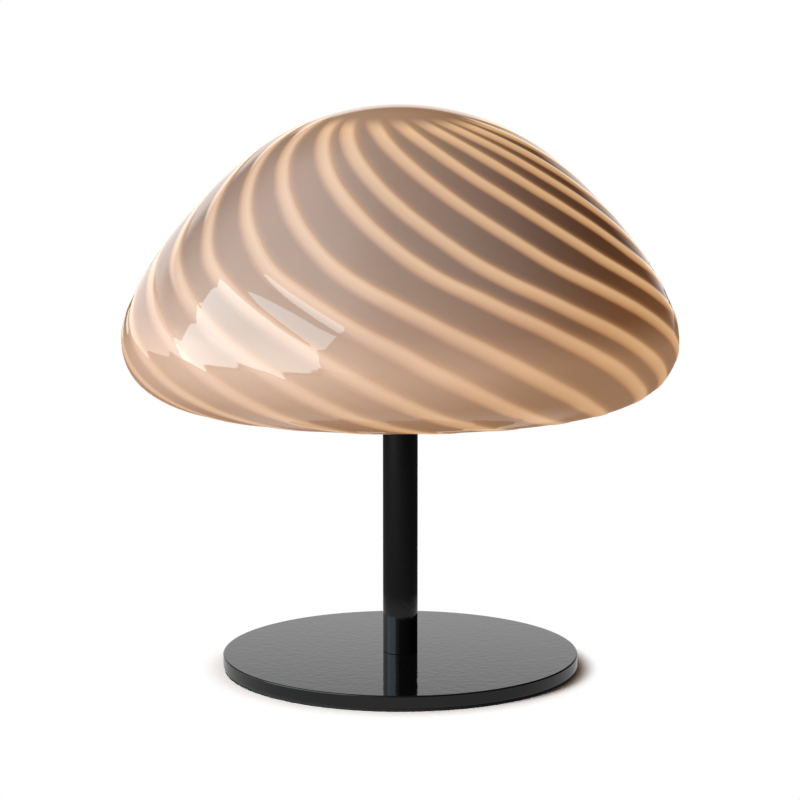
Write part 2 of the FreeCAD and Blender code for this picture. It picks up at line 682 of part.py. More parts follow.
NODES = {
    "base_pad": base_pad,
    "base_plate": base_plate,
    "base_screws": base_screws,
    "cord_bush": cord_bush,
    "stem_foot_plug": stem_foot_plug,
    "stem_tube": stem_tube,
    "stem_head_plug": stem_head_plug,
    "carrier_nipple": carrier_nipple,
    "shade_carrier": shade_carrier,
    "carrier_gasket": carrier_gasket,
    "earth_tag": earth_tag,
    "carrier_nut": carrier_nut,
    "holder_bush": holder_bush,
    "holder_grub_screw": grub_screw,
    "holder_cap": holder_cap,
    "holder_insert": holder_insert,
    "holder_skirt": holder_skirt,
    "screw_shell": screw_shell,
    "centre_contact": centre_contact,
    "shell_contact": shell_contact,
    "terminal_screws": terminal_screws,
    "bulb_eyelet": bulb_eyelet,
    "bulb_insulator": bulb_insulator,
    "bulb_cap": bulb_cap,
    "bulb_housing": bulb_housing,
    "bulb_board": bulb_board,
    "bulb_globe": bulb_globe,
    "shade_glass": shade_glass,
    "swirl_canes": swirl_canes,
}

os.makedirs("parts", exist_ok=True)
for node, make in NODES.items():
    make().exportStep("parts/" + node + ".step")
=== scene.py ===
import math
import bmesh
import bpy
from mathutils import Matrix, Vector


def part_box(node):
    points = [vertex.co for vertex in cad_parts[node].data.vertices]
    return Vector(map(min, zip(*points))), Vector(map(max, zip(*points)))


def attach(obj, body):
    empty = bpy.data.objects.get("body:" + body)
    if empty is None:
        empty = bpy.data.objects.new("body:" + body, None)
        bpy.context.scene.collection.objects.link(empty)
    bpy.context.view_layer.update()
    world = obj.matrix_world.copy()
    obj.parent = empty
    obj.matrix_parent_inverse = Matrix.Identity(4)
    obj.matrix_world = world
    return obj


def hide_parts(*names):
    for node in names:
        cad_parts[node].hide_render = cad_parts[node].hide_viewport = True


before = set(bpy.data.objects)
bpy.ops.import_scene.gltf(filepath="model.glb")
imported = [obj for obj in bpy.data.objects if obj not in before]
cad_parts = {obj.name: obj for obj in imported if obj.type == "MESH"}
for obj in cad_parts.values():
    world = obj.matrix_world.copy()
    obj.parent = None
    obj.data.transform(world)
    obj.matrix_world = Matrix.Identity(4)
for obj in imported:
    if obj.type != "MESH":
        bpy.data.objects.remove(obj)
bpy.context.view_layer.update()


# ---- Base pad ----
# A disc of soft black foam rubber, glued under the steel plate. It keeps the lamp from sliding,
# closes the channel of the cord and hides the three screws of the stem.
class Wire:
    """One output of a node. Arithmetic on it adds Math nodes to the same graph."""

    def __init__(self, graph, socket):
        self.graph = graph
        self.socket = socket

    def math(self, operation, *others):
        return self.graph.math(operation, self, *others)

    def __add__(self, other):
        return self.math("ADD", other)

    def __radd__(self, other):
        return self.graph.math("ADD", other, self)

    def __sub__(self, other):
        return self.math("SUBTRACT", other)

    def __rsub__(self, other):
        return self.graph.math("SUBTRACT", other, self)

    def __mul__(self, other):
        return self.math("MULTIPLY", other)

    def __rmul__(self, other):
        return self.graph.math("MULTIPLY", other, self)

    def __truediv__(self, other):
        return self.math("DIVIDE", other)

    def output(self, name):
        """Another output of the same node."""
        return Wire(self.graph, self.socket.node.outputs[name])


class Graph:
    """The nodes of one material, world or geometry tree."""

    def __init__(self, tree):
        self.tree = tree
        tree.nodes.clear()

    def node(self, kind, settings=None, inputs=None):
        """Adds a node: its settings first, then the values or links of its sockets."""
        node = self.tree.nodes.new(kind)
        for name, value in (settings or {}).items():
            if name == "stops":
                self.set_stops(node.color_ramp, value)
            elif name == "points":
                self.set_points(node.mapping, value, "AUTO")
            elif name == "corners":
                self.set_points(node.mapping, value, "VECTOR")
            else:
                setattr(node, name, value)
        for key, value in (inputs or {}).items():
            if isinstance(value, Wire):
                self.tree.links.new(value.socket, node.inputs[key])
            else:
                node.inputs[key].default_value = value
        outputs = [socket for socket in node.outputs if socket.enabled]
        return Wire(self, outputs[0]) if outputs else None

    def set_stops(self, ramp, stops):
        """Colours of a ramp as (place, colour)."""
        while len(ramp.elements) < len(stops):
            ramp.elements.new(1)
        for element, (place, colour) in zip(ramp.elements, stops):
            element.position = place
            element.color = (*colour, 1)

    def set_points(self, mapping, points, handle):
        """Points of a float curve as (x, y), rounded or with straight lines between them."""
        curve = mapping.curves[0]
        while len(curve.points) < len(points):
            curve.points.new(1, 1)
        for point, (x, y) in zip(curve.points, points):
            point.location = (x, y)
            point.handle_type = handle
        mapping.extend = "HORIZONTAL"
        mapping.update()

    def math(self, operation, *values):
        return self.node("ShaderNodeMath", {"operation": operation}, dict(enumerate(values)))

    def noise(self, place, scale, detail=2.0):
        """Soft noise between 0 and 1; the scale is in waves to a metre."""
        given = {"Vector": place, "Scale": scale, "Detail": detail}
        return self.node("ShaderNodeTexNoise", {}, given)

    def ramp(self, value, stops):
        """A colour that changes with a value between 0 and 1."""
        return self.node("ShaderNodeValToRGB", {"stops": stops}, {"Fac": value})

    def curve(self, value, points):
        """A smooth curve through points (x, y)."""
        return self.node("ShaderNodeFloatCurve", {"points": points}, {"Value": value})

    def ease(self, value, start, end):
        """0 before the start and 1 past the end, with a soft step between."""
        given = {"Value": value, "From Min": start, "From Max": end}
        return self.node("ShaderNodeMapRange", {"interpolation_type": "SMOOTHSTEP"}, given)

    def between(self, value, start, end, first, last):
        """A straight change from a first to a last number."""
        given = {"Value": value, "From Min": start, "From Max": end}
        return self.node("ShaderNodeMapRange", {}, {**given, "To Min": first, "To Max": last})

    def add(self, first, second):
        """The sum of two colours or vectors."""
        return self.node("ShaderNodeVectorMath", {"operation": "ADD"}, {0: first, 1: second})

    def spread(self, value, low, high):
        """A value from 0 to 1 set between two others."""
        return value * (high - low) + low

    def mix(self, factor, first, second):
        """One colour turning into another."""
        return self.node("ShaderNodeMix", {"data_type": "RGBA"}, {0: factor, 6: first, 7: second})

    def bump(self, height, depth):
        """Normals of a surface with a relief; the depth is in metres."""
        return self.node("ShaderNodeBump", {}, {"Height": height, "Distance": depth})


def finish_of(name, build):
    """A material whose function gives the sockets of its one principled shader."""
    material = bpy.data.materials.new(name)
    material.use_nodes = True
    graph = Graph(material.node_tree)
    place = graph.node("ShaderNodeTexCoord").output("Object")
    shader = graph.node("ShaderNodeBsdfPrincipled", {}, build(graph, place))
    graph.node("ShaderNodeOutputMaterial", {}, {"Surface": shader})
    return material


def ring_section(inner, outer, low, high):
    """The section of a flat ring or tube, as (radius, height) points."""
    return [(inner, low), (outer, low), (outer, high), (inner, high)]


def rounded(outline, radius, steps=6):
    """A closed outline of (radius, height) points with every corner rounded.

    A narrow strip on each side of a corner keeps the flats flat where the shading is smooth.
    """
    strip = radius / 2
    made = []
    for index, corner in enumerate(outline):
        corner = Vector(corner)
        before = (Vector(outline[index - 1]) - corner).normalized()
        after = (Vector(outline[(index + 1) % len(outline)]) - corner).normalized()
        half = before.angle(after) / 2
        centre = corner + (before + after).normalized() * radius / math.sin(half)
        first = corner + before * radius / math.tan(half)
        last = corner + after * radius / math.tan(half)
        turn = (first - centre).angle_signed(last - centre)
        made.append(first + before * strip)
        for step in range(steps + 1):
            angle = -turn * step / steps
            spoke = first - centre
            turned_spoke = Vector(
                (
                    spoke.x * math.cos(angle) - spoke.y * math.sin(angle),
                    spoke.x * math.sin(angle) + spoke.y * math.cos(angle),
                )
            )
            made.append(centre + turned_spoke)
        made.append(last + after * strip)
    return made


def turned(outline, sides):
    """A mesh turned about the lamp's axis from a closed outline of (radius, height) points."""
    made = bmesh.new()
    rings = []
    for side in range(sides):
        angle = 2 * math.pi * side / sides
        ring = [(p[0] * math.cos(angle), p[0] * math.sin(angle), p[1]) for p in outline]
        rings.append([made.verts.new(point) for point in ring])
    for side in range(sides):
        here, there = rings[side], rings[(side + 1) % sides]
        for index in range(len(outline)):
            after = (index + 1) % len(outline)
            made.faces.new((here[index], there[index], there[after], here[after]))
    bmesh.ops.remove_doubles(made, verts=made.verts, dist=1e-7)
    bmesh.ops.recalc_face_normals(made, faces=made.faces)
    return made


def smooth(made, name, sharp=35):
    """A finished mesh, shaded smooth but for edges sharper than an angle in degrees."""
    for edge in made.edges:
        edge.smooth = edge.calc_face_angle(math.pi) < math.radians(sharp)
    for face in made.faces:
        face.smooth = True
    mesh = bpy.data.meshes.new(name)
    made.to_mesh(mesh)
    made.free()
    return mesh


def fit(name, mesh, finish, body, slot, *replaced):
    """Puts a finished mesh in the scene, on its body, in place of its construction nodes."""
    piece = bpy.data.objects.new(name, mesh)
    bpy.context.scene.collection.objects.link(piece)
    mesh.materials.clear()
    mesh.materials.append(finish)
    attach(piece, body)
    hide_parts(*replaced)
    return piece


def pad_foam(graph, place):
    grain = graph.noise(place, 900, 3)
    return {
        "Base Color": graph.mix(grain, (0.012, 0.012, 0.012, 1), (0.03, 0.03, 0.029, 1)),
        "Roughness": 0.92,
        "Normal": graph.bump(grain, 0.0003),
    }


pad_low, pad_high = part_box("base_pad")
PAD_EDGE = 0.0004
PAD_SIDES = 256
pad_rim = rounded(ring_section(0.0, pad_high.x, pad_low.z, pad_high.z), PAD_EDGE)
pad_rim = [point for point in pad_rim if point.x > PAD_EDGE * 3]
pad_outline = [(0.0, pad_low.z)] + pad_rim + [(0.0, pad_high.z)]
pad_mesh = smooth(turned(pad_outline, PAD_SIDES), "foam_pad")
fit("foam_pad", pad_mesh, finish_of("pad_foam", pad_foam), "lamp", "pad_foam", "base_pad")


# ---- Base plate ----
# An 8 mm disc turned from steel plate, with its edges broken, sprayed with gloss black lacquer.
# The cord runs in a half-round channel on its underside, from the middle to the back edge.
def black_lacquer(graph, place):
    peel = graph.noise(place, 260, 1)
    drawn_out = graph.node(
        "ShaderNodeMapping", {"vector_type": "TEXTURE"}, {"Vector": place, "Scale": (1, 0.25, 1)}
    )
    haze = graph.noise(drawn_out, 40, 5)
    return {
        "Base Color": graph.mix(haze, (0.0025, 0.0025, 0.0025, 1), (0.006, 0.006, 0.0065, 1)),
        "Roughness": graph.spread(haze, 0.03, 0.075),
        "IOR": 1.45,
        "Normal": graph.bump(peel, 0.00003),
    }


plate_low, plate_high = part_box("base_plate")
PLATE_EDGE = 0.0008
WIRE_HOLE = 0.0035
CHANNEL_RADIUS = 0.0033
PLATE_EDGE_STEPS = 8
PLATE_SIDES = 288
lacquer = finish_of("black_lacquer", black_lacquer)
plate_section = ring_section(WIRE_HOLE, plate_high.x, plate_low.z, plate_high.z)
plate_outline = rounded(plate_section, PLATE_EDGE, PLATE_EDGE_STEPS)
plate_mesh = smooth(turned(plate_outline, PLATE_SIDES), "steel_plate")
plate = fit("steel_plate", plate_mesh, lacquer, "lamp", "black_lacquer", "base_plate")


def channel_cutter():
    """A bar with a half-round top, from the wire hole out past the back edge."""
    made = bmesh.new()
    steps = 24
    middle = plate_low.z + CHANNEL_RADIUS
    arc = [math.pi * step / steps for step in range(steps + 1)]
    section = [(CHANNEL_RADIUS * math.cos(a), middle + CHANNEL_RADIUS * math.sin(a)) for a in arc]
    section += [(-CHANNEL_RADIUS, plate_low.z - CHANNEL_RADIUS)]
    section += [(CHANNEL_RADIUS, plate_low.z - CHANNEL_RADIUS)]
    start = [made.verts.new((x, 0, z)) for x, z in section]
    end = [made.verts.new((x, plate_high.y + CHANNEL_RADIUS, z)) for x, z in section]
    made.faces.new(start)
    made.faces.new(end)
    for index in range(len(section)):
        made.faces.new((start[index - 1], start[index], end[index], end[index - 1]))
    bmesh.ops.recalc_face_normals(made, faces=made.faces)
    mesh = bpy.data.meshes.new("channel_cutter")
    made.to_mesh(mesh)
    made.free()
    return bpy.data.objects.new("channel_cutter", mesh)


def cut(piece, cutter):
    """Cuts one mesh out of another, and keeps the smooth shading."""
    bpy.context.scene.collection.objects.link(cutter)
    boolean = piece.modifiers.new("cut", "BOOLEAN")
    boolean.object = cutter
    boolean.solver = "EXACT"
    depsgraph = bpy.context.evaluated_depsgraph_get()
    cleaned = bmesh.new()
    cleaned.from_mesh(bpy.data.meshes.new_from_object(piece.evaluated_get(depsgraph)))
    piece.modifiers.remove(boolean)
    bpy.data.objects.remove(cutter)
    material = piece.data.materials[0]
    piece.data = smooth(cleaned, piece.name)
    piece.data.materials.append(material)


cut(plate, channel_cutter())


# ---- Cord bush ----
# A small black plastic moulding that lines the cord's way out at the back of the plate.
# It is pushed into the channel up to its collar.
def copied(node):
    """A construction node's own shape with its doubles merged, ready for smooth shading."""
    made = bmesh.new()
    made.from_mesh(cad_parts[node].data)
    bmesh.ops.remove_doubles(made, verts=made.verts, dist=1e-6)
    return made


def dress(node, finish, body, slot, sharp=35):
    """Replaces a construction node by its own shape with smooth round faces."""
    name = "finished_" + node
    return fit(name, smooth(copied(node), name, sharp), finish, body, slot, node)


def black_plastic(graph, place):
    grain = graph.noise(place, 1500, 2)
    return {
        "Base Color": graph.mix(grain, (0.011, 0.011, 0.012, 1), (0.02, 0.02, 0.021, 1)),
        "Roughness": graph.spread(grain, 0.32, 0.46),
        "Normal": graph.bump(grain, 0.00005),
    }


plastic = finish_of("black_plastic", black_plastic)
dress("cord_bush", plastic, "lamp", "black_plastic")


# ---- Stem ----
# A 22 mm steel tube in the same gloss black lacquer, with its ends turned square. It stands on
# the plate, and a plug brazed into each end takes the screws below and the nipple above.
stem_low, stem_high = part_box("stem_tube")
STEM_WALL = 0.0015
STEM_EDGE = 0.0003
STEM_SIDES = 160
stem_section = ring_section(stem_high.x - STEM_WALL, stem_high.x, stem_low.z, stem_high.z)
stem_mesh = smooth(turned(rounded(stem_section, STEM_EDGE), STEM_SIDES), "stem")
fit("stem", stem_mesh, lacquer, "lamp", "black_lacquer", "stem_tube")


def plated_steel(graph, place):
    cloud = graph.noise(place, 300, 4)
    return {
        "Base Color": graph.mix(cloud, (0.52, 0.52, 0.5, 1), (0.66, 0.66, 0.65, 1)),
        "Metallic": 1.0,
        "Roughness": graph.spread(cloud, 0.22, 0.38),
    }


def finish_nodes(finish, *nodes):
    """Gives construction nodes that keep their own mesh a finish."""
    for node in nodes:
        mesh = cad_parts[node].data
        mesh.materials.clear()
        mesh.materials.append(finish)


plating = finish_of("plated_steel", plated_steel)
finish_nodes(
    plating,
    "base_screws",
    "stem_foot_plug",
    "stem_head_plug",
    "carrier_nipple",
    "holder_bush",
    "holder_grub_screw",
)


# ---- Carrier ----
# A ring pressed from steel sheet on four arms, powder coated white, with a silicone gasket that
# the glass rests on. A thin nut on the nipple clamps it, with the earth tag between them.
def carrier_paint(graph, place):
    grain = graph.noise(place, 1400, 2)
    return {
        "Base Color": graph.mix(grain, (0.74, 0.72, 0.68, 1), (0.8, 0.78, 0.75, 1)),
        "Roughness": graph.spread(grain, 0.42, 0.55),
        "Normal": graph.bump(grain, 0.00006),
    }


def clear_silicone(graph, place):
    grain = graph.noise(place, 500, 2)
    return {
        "Base Color": graph.mix(grain, (0.66, 0.65, 0.62, 1), (0.74, 0.73, 0.7, 1)),
        "Roughness": graph.spread(grain, 0.28, 0.4),
        "Subsurface Weight": 0.3,
        "Subsurface Scale": 0.002,
    }


def contact_brass(graph, place):
    cloud = graph.noise(place, 400, 4)
    return {
        "Base Color": graph.mix(cloud, (0.72, 0.5, 0.2, 1), (0.82, 0.62, 0.3, 1)),
        "Metallic": 1.0,
        "Roughness": graph.spread(cloud, 0.18, 0.34),
    }


brass = finish_of("contact_brass", contact_brass)
dress("shade_carrier", finish_of("carrier_paint", carrier_paint), "lamp", "carrier_paint")
dress("carrier_gasket", finish_of("clear_silicone", clear_silicone), "lamp", "clear_silicone")
dress("carrier_nut", plating, "lamp", "plated_steel")
dress("earth_tag", brass, "lamp", "contact_brass")


# ---- Bulb holder ----
# Three mouldings for a 27 mm screw cap: a black cap and skirt that screw together, and between
# them a white core that holds the threaded brass shell and the two contacts.
def white_moulding(graph, place):
    grain = graph.noise(place, 700, 2)
    return {
        "Base Color": graph.mix(grain, (0.76, 0.75, 0.71, 1), (0.82, 0.81, 0.78, 1)),
        "Roughness": graph.spread(grain, 0.3, 0.42),
    }


finish_nodes(brass, "screw_shell", "centre_contact", "shell_contact", "terminal_screws")
dress("holder_cap", plastic, "lamp", "black_plastic")
dress("holder_skirt", plastic, "lamp", "black_plastic")
dress("holder_insert", finish_of("white_moulding", white_moulding), "lamp", "white_moulding")


# ---- Bulb ----
# A pear-shaped lamp of the present kind: a threaded aluminium cap crimped on a white housing,
# which carries a board of light-emitting chips under an opal dome.
def cap_metal(graph, place):
    cloud = graph.noise(place, 500, 3)
    return {
        "Base Color": graph.mix(cloud, (0.62, 0.62, 0.62, 1), (0.76, 0.76, 0.77, 1)),
        "Metallic": 1.0,
        "Roughness": graph.spread(cloud, 0.2, 0.32),
    }


def dark_vitrite(graph, place):
    cloud = graph.noise(place, 900, 2)
    return {
        "Base Color": graph.mix(cloud, (0.02, 0.02, 0.028, 1), (0.04, 0.04, 0.05, 1)),
        "Roughness": graph.spread(cloud, 0.08, 0.16),
    }


def white_housing(graph, place):
    cloud = graph.noise(place, 300, 2)
    return {
        "Base Color": graph.mix(cloud, (0.8, 0.8, 0.78, 1), (0.84, 0.84, 0.82, 1)),
        "Roughness": graph.spread(cloud, 0.24, 0.32),
    }


def board_white(graph, place):
    grain = graph.noise(place, 1200, 2)
    return {
        "Base Color": graph.mix(grain, (0.76, 0.78, 0.75, 1), (0.84, 0.85, 0.82, 1)),
        "Roughness": graph.spread(grain, 0.4, 0.5),
    }


def opal_diffuser(graph, place):
    cloud = graph.noise(place, 120, 2)
    return {
        "Base Color": graph.mix(cloud, (0.82, 0.8, 0.76, 1), (0.86, 0.84, 0.8, 1)),
        "Roughness": graph.spread(cloud, 0.3, 0.4),
        "Emission Color": graph.mix(cloud, (1.0, 0.72, 0.45, 1), (1.0, 0.78, 0.52, 1)),
        "Emission Strength": 0.6,
    }


finish_nodes(brass, "bulb_eyelet")
finish_nodes(finish_of("dark_vitrite", dark_vitrite), "bulb_insulator")
finish_nodes(finish_of("board_white", board_white), "bulb_board")
dress("bulb_cap", finish_of("cap_metal", cap_metal), "bulb", "cap_metal")
dress("bulb_housing", finish_of("white_housing", white_housing), "bulb", "white_housing")
dress("bulb_globe", finish_of("opal_diffuser", opal_diffuser), "bulb", "opal_diffuser")


# ---- Shade ----
# One piece of blown glass, taupe under clear, with 22 pale canes that were picked up at the crown
# and twisted as the glass was turned. The canes stand a little proud of it. The bulb's light
# through them and through the glass is painted on as a glow.
CROWN = (0.1527, 39.5)
FLANK = (0.3050, 13.45)
HIP = (0.1927, 12.4)
SHOULDER = (0.0694, 14.95)
GIRTH = (0.0355, 62.25)
BELLY_RADIUS = 0.0529
BELLY_BELOW_SEAT = 0.0056
WALL = 0.004
OPENING = 0.058
SEAT_WIDTH = 0.016
RIM_ROUND = 0.0012
CANES = 22
CANE_SPACING = 0.024
COLUMNS_TO_A_CANE = 22
CANE_PROUD = 0.0004
CANE_TURNS_AT_FRONT = [-122, -104, -86, -69, -51, -34, -14, 0, 18, 35, 51, 65, 78, 93]
TWIST_AT_CROWN = -56.0
TWIST_PER_M = 426.0
EXTRA_TWIST_PER_M = 200.0
EXTRA_TWIST_START = 0.178
EXTRA_TWIST_ONSET = 0.004
CANES_BEGIN = 0.042
CANES_FULL = 0.066
CANES_STOP = 0.01
SECTION_STEP = 0.0038
INSIDE_STEP = 0.009
RIM_STEPS = 6


def bends(start, angle, curves, inset, step):
    """Points along arcs laid end to end with no kink; a positive turn is clockwise."""
    points = []
    point = start
    for radius, turn in curves:
        side = math.copysign(1, turn)
        reach = radius - side * inset
        heading = math.radians(angle - side * 90)
        centre = point + Vector((math.cos(heading), math.sin(heading))) * reach
        by_length = math.ceil(reach * math.radians(abs(turn)) / step)
        count = max(2, by_length, math.ceil(abs(turn) / 6))
        for index in range(1, count + 1):
            spoke = math.radians(angle + side * 90 - turn * index / count)
            points.append(centre + Vector((math.cos(spoke), math.sin(spoke))) * reach)
        point = points[-1]
        angle -= turn
    return points


def glass_outline():
    """The glass's section: down the outside from the crown, round the rim and up the inside."""
    glass_low, glass_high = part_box("shade_glass")
    crown = Vector((0.0, glass_high.z))
    dome = [CROWN, FLANK, HIP, SHOULDER, GIRTH]
    dome.append((BELLY_RADIUS, 180 - sum(turn for radius, turn in dome)))
    lowest = bends(crown, 0, dome, 0, 0.01)[-1]
    across = lowest.x - OPENING - SEAT_WIDTH
    swing = 2 * math.degrees(math.atan2(BELLY_BELOW_SEAT, across))
    sweep = (across**2 + BELLY_BELOW_SEAT**2) / (4 * BELLY_BELOW_SEAT)
    curves = dome + [(sweep, swing), (sweep, -swing)]
    outer = [crown] + bends(crown, 0, curves, 0, SECTION_STEP)
    inner_crown = crown - Vector((0, WALL))
    inner = [inner_crown] + bends(inner_crown, 0, curves, WALL, INSIDE_STEP)
    seat = outer[-1].y
    high = seat + WALL
    low_turn = Vector((OPENING + RIM_ROUND, seat + RIM_ROUND))
    high_turn = Vector((OPENING + RIM_ROUND, high - RIM_ROUND))
    rim = []
    for centre, start in ((low_turn, 270), (high_turn, 180)):
        for index in range(RIM_STEPS + 1):
            angle = math.radians(start - 90 / RIM_STEPS * index)
            rim.append(centre + Vector((math.cos(angle), math.sin(angle))) * RIM_ROUND)
    return outer, rim + inner[::-1]


outer_face, inside_face = glass_outline()
outer_length = sum((b - a).length for a, b in zip(outer_face, outer_face[1:]))


def outline_object():
    """The section as a curve in the XZ plane."""
    section = outer_face + inside_face
    curve = bpy.data.curves.new("glass_section", "CURVE")
    curve.dimensions = "3D"
    spline = curve.splines.new("POLY")
    spline.points.add(len(section) - 1)
    for point, place in zip(spline.points, section):
        point.co = (max(place.x, 0.0), 0, place.y, 1)
    made = bpy.data.objects.new("glass_section", curve)
    bpy.context.scene.collection.objects.link(made)
    return made


def twist_at(place):
    """The canes' turn about the axis at a distance down the outside, in radians."""
    onset = (place - EXTRA_TWIST_START) / EXTRA_TWIST_ONSET
    grown = (onset.math("EXPONENT") + 1).math("LOGARITHM", math.e)
    extra = grown * EXTRA_TWIST_ONSET * math.radians(EXTRA_TWIST_PER_M)
    return place * math.radians(TWIST_PER_M) + extra + math.radians(TWIST_AT_CROWN)


def cane_turns():
    """The angle of each cane before the twist; those at the back are evenly spaced."""
    first, last = CANE_TURNS_AT_FRONT[0], CANE_TURNS_AT_FRONT[-1]
    gaps = CANES - len(CANE_TURNS_AT_FRONT) + 1
    even = (360 + first - last) / gaps
    return CANE_TURNS_AT_FRONT + [last + even * (index + 1) for index in range(gaps)]


def angle_at(graph, share):
    """The angle of a column before the twist, in radians."""
    turns = cane_turns()
    corners = [(index / CANES, (turn - turns[0]) / 360) for index, turn in enumerate(turns)]
    round_part = graph.node("ShaderNodeFloatCurve", {"corners": corners}, {"Value": share})
    return round_part * (2 * math.pi) + math.radians(turns[0])


def glass_tree():
    """Turns the section about the axis on a grid whose columns follow the canes."""
    tree = bpy.data.node_groups.new("swirl_glass", "GeometryNodeTree")
    face = tree.interface
    face.new_socket("Section", in_out="INPUT", socket_type="NodeSocketGeometry")
    for name, kind in (
        ("Canes", "Int"),
        ("Columns to a cane", "Int"),
        ("Proud", "Float"),
        ("Outer length", "Float"),
        ("Finish", "Material"),
    ):
        face.new_socket(name, in_out="INPUT", socket_type="NodeSocket" + kind)
    face.new_socket("Glass", in_out="OUTPUT", socket_type="NodeSocketGeometry")
    graph = Graph(tree)
    given = graph.node("NodeGroupInput")
    canes = given.output("Canes")
    rows = graph.node("GeometryNodeAttributeDomainSize", {"component": "CURVE"}, {0: given})
    columns = canes * given.output("Columns to a cane") + 1
    grid = graph.node("GeometryNodeMeshGrid", {}, {0: 1.0, 1: 1.0, 2: columns, 3: rows})
    turn = graph.node("ShaderNodeSeparateXYZ", {}, {0: grid.output("UV Map")})
    row = (turn.output("Y") * (rows - 1) + 0.5).math("FLOOR")

    def sampled(value, kind):
        settings = {"data_type": kind, "domain": "POINT"}
        return graph.node("GeometryNodeSampleIndex", settings, {0: given, 1: value, 2: row})

    point = sampled(graph.node("GeometryNodeInputPosition"), "FLOAT_VECTOR")
    tangent = sampled(graph.node("GeometryNodeInputTangent"), "FLOAT_VECTOR")
    length = sampled(graph.node("GeometryNodeSplineParameter").output("Length"), "FLOAT")
    radius = graph.node("ShaderNodeSeparateXYZ", {}, {0: point})

    outer = length.math("MINIMUM", given.output("Outer length"))
    step = 0.001
    slope = (twist_at(outer + step) - twist_at(outer - step)) / (2 * step)
    lean = slope * radius
    longer = (lean * lean + 1).math("SQRT")
    part = 0.0005
    widening = (angle_at(graph, turn + part) - angle_at(graph, turn - part)) / (2 * part)
    pitch = widening * radius / longer / canes
    cane = turn * canes
    distance = (cane - cane.math("ROUND")) * pitch
    proud = graph.curve(
        distance / CANE_SPACING + 0.5,
        [(0, 0), (0.16, 0), (0.34, 0.75), (0.5, 1), (0.56, 0.9), (0.66, 0.1), (0.72, 0), (1, 0)],
    )
    start = graph.ease(length, CANES_BEGIN, CANES_FULL)
    stop = graph.ease(given.output("Outer length") - length, 0.0, CANES_STOP)
    rise = proud * start * stop * given.output("Proud")
    flat = graph.node("ShaderNodeSeparateXYZ", {}, {0: tangent})
    away, up = flat.output("Z") * rise * -1, flat * rise
    outward = graph.node("ShaderNodeCombineXYZ", {}, {0: away, 2: up})
    raised = graph.add(point, outward)
    angle = angle_at(graph, turn) + twist_at(outer) - math.pi / 2
    placed = graph.node(
        "ShaderNodeVectorRotate", {"rotation_type": "Z_AXIS"}, {"Vector": raised, "Angle": angle}
    )
    moved = graph.node("GeometryNodeSetPosition", {}, {"Geometry": grid, "Position": placed})
    mapped = graph.node(
        "GeometryNodeStoreNamedAttribute",
        {"data_type": "FLOAT2", "domain": "CORNER"},
        {
            "Geometry": moved,
            "Name": "cane_map",
            "Value": graph.node("ShaderNodeCombineXYZ", {}, {0: cane, 1: length}),
        },
    )
    spaced = graph.node(
        "GeometryNodeStoreNamedAttribute",
        {"data_type": "FLOAT", "domain": "POINT"},
        {"Geometry": mapped, "Name": "pitch", "Value": pitch},
    )
    closed = graph.node("GeometryNodeMergeByDistance", {}, {"Geometry": spaced, "Distance": 1e-6})
    shaded = graph.node("GeometryNodeSetShadeSmooth", {}, {"Geometry": closed})
    real = graph.node("GeometryNodeRealizeInstances", {}, {"Geometry": shaded})
    finished = graph.node(
        "GeometryNodeSetMaterial", {}, {"Geometry": real, "Material": given.output("Finish")}
    )
    graph.node("NodeGroupOutput", {}, {0: finished})
    return tree


# Painted glow across one cane, standing in for the bulb's light through it: rising slowly from
# one edge to a peak, falling off sharply past the other, with a faint halo beyond.
PAINTED_GLOW_ACROSS_A_CANE = [
    (0.00, (0.0, 0.0, 0.0)),
    (0.16, (0.0, 0.0, 0.0)),
    (0.20, (0.09, 0.038, 0.012)),
    (0.25, (0.31, 0.155, 0.060)),
    (0.32, (0.45, 0.260, 0.115)),
    (0.42, (0.54, 0.335, 0.165)),
    (0.51, (0.58, 0.385, 0.205)),
    (0.58, (0.47, 0.285, 0.145)),
    (0.63, (0.20, 0.105, 0.045)),
    (0.70, (0.06, 0.028, 0.011)),
    (0.80, (0.0, 0.0, 0.0)),
    (1.00, (0.0, 0.0, 0.0)),
]
# Painted glow down the outside of the glass, from crown to rim, standing in for the bulb's light
# through it: strongest at the crown and near the rim, weakest about the middle.
PAINTED_GLOW_DOWN_THE_GLASS = [
    (0.00, (0.235, 0.122, 0.060)),
    (0.10, (0.250, 0.128, 0.058)),
    (0.15, (0.200, 0.096, 0.038)),
    (0.23, (0.11, 0.050, 0.018)),
    (0.32, (0.088, 0.031, 0.011)),
    (0.44, (0.074, 0.026, 0.009)),
    (0.52, (0.095, 0.034, 0.011)),
    (0.60, (0.152, 0.058, 0.019)),
    (0.66, (0.290, 0.150, 0.075)),
]
CANE_WAVER = 0.0009
# Lower down the shade the canes' painted glow is dimmed to this share, a painted shade.
DIMMING_BEGINS = 0.19
DIMMING_ENDS = 0.25
DIMMED = 0.62


